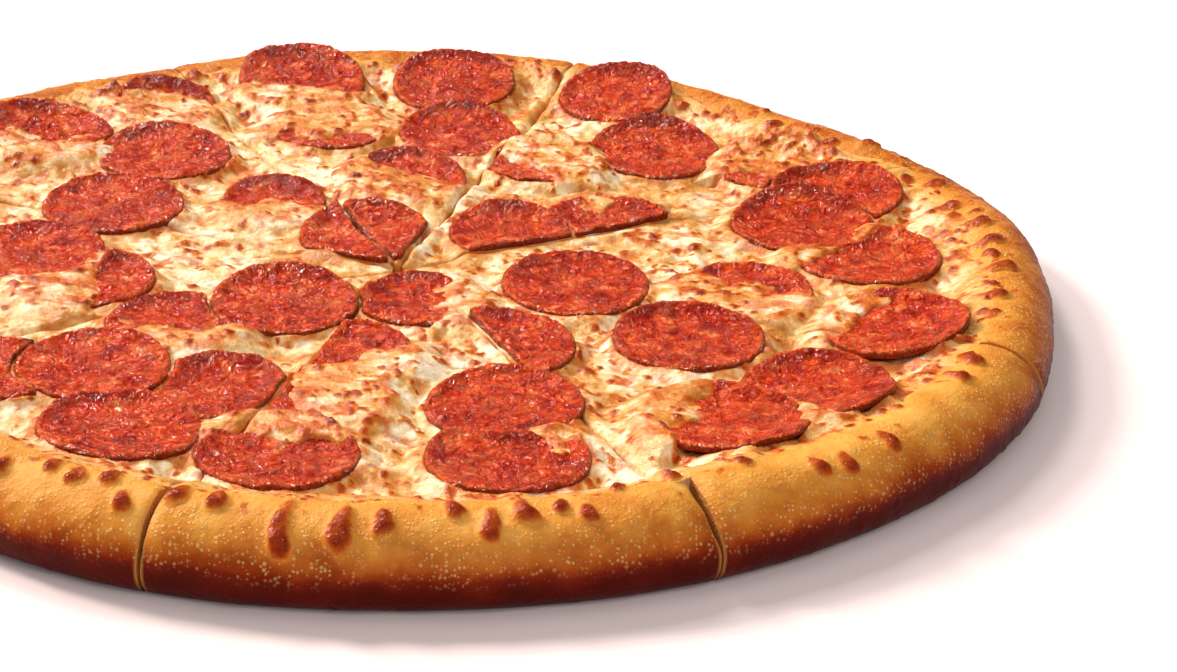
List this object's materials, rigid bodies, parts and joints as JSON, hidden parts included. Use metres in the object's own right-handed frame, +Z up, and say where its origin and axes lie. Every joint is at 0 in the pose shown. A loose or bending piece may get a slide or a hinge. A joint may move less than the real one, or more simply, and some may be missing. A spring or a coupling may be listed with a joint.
{
  "type": "pepperoni pizza",
  "caption": "Round pepperoni pizza cut into slices that still lie together, with a puffed crust rim, melted cheese and cupped slices of pepperoni.",
  "frame": {"origin": "centre of the round underside, on the surface that the pizza lies on", "axes": "+Z up through the pizza; +X to the viewer's right and +Y away from the viewer in the picture"},
  "size_m": [0.3552, 0.3604, 0.0233],
  "materials": {
    "crust": "baked dough, satin where it is buttered",
    "cheese": "melted cheese, moist",
    "pepperoni": "oily cured sausage"
  },
  "bodies": {
    "root": {"crust_1": "crust", "crust_2": "crust", "crust_3": "crust", "crust_4": "crust", "crust_5": "crust", "crust_6": "crust", "crust_7": "crust", "crust_8": "crust", "cheese_1": "cheese", "cheese_2": "cheese", "cheese_3": "cheese", "cheese_4": "cheese", "cheese_5": "cheese", "cheese_6": "cheese", "cheese_7": "cheese", "cheese_8": "cheese", "pepperoni_01": "pepperoni", "pepperoni_02": "pepperoni", "pepperoni_03": "pepperoni", "pepperoni_04": "pepperoni", "pepperoni_05": "pepperoni", "pepperoni_06": "pepperoni", "pepperoni_07": "pepperoni", "pepperoni_08": "pepperoni", "pepperoni_09": "pepperoni", "pepperoni_10": "pepperoni", "pepperoni_11": "pepperoni", "pepperoni_12": "pepperoni", "pepperoni_13": "pepperoni", "pepperoni_14": "pepperoni", "pepperoni_15": "pepperoni", "pepperoni_16": "pepperoni", "pepperoni_17": "pepperoni", "pepperoni_18": "pepperoni", "pepperoni_19": "pepperoni", "pepperoni_20": "pepperoni", "pepperoni_21": "pepperoni", "pepperoni_22": "pepperoni", "pepperoni_23": "pepperoni", "pepperoni_24": "pepperoni", "pepperoni_25": "pepperoni", "pepperoni_26": "pepperoni", "pepperoni_27": "pepperoni", "pepperoni_28": "pepperoni", "pepperoni_29": "pepperoni", "pepperoni_30": "pepperoni", "pepperoni_31": "pepperoni", "pepperoni_32": "pepperoni", "pepperoni_33": "pepperoni", "pepperoni_34": "pepperoni", "pepperoni_35": "pepperoni", "pepperoni_36": "pepperoni", "pepperoni_37": "pepperoni", "pepperoni_38": "pepperoni", "pepperoni_39": "pepperoni", "pepperoni_40": "pepperoni", "pepperoni_41": "pepperoni", "pepperoni_42": "pepperoni", "pepperoni_43": "pepperoni", "pepperoni_44": "pepperoni"}
  },
  "joints": []
}
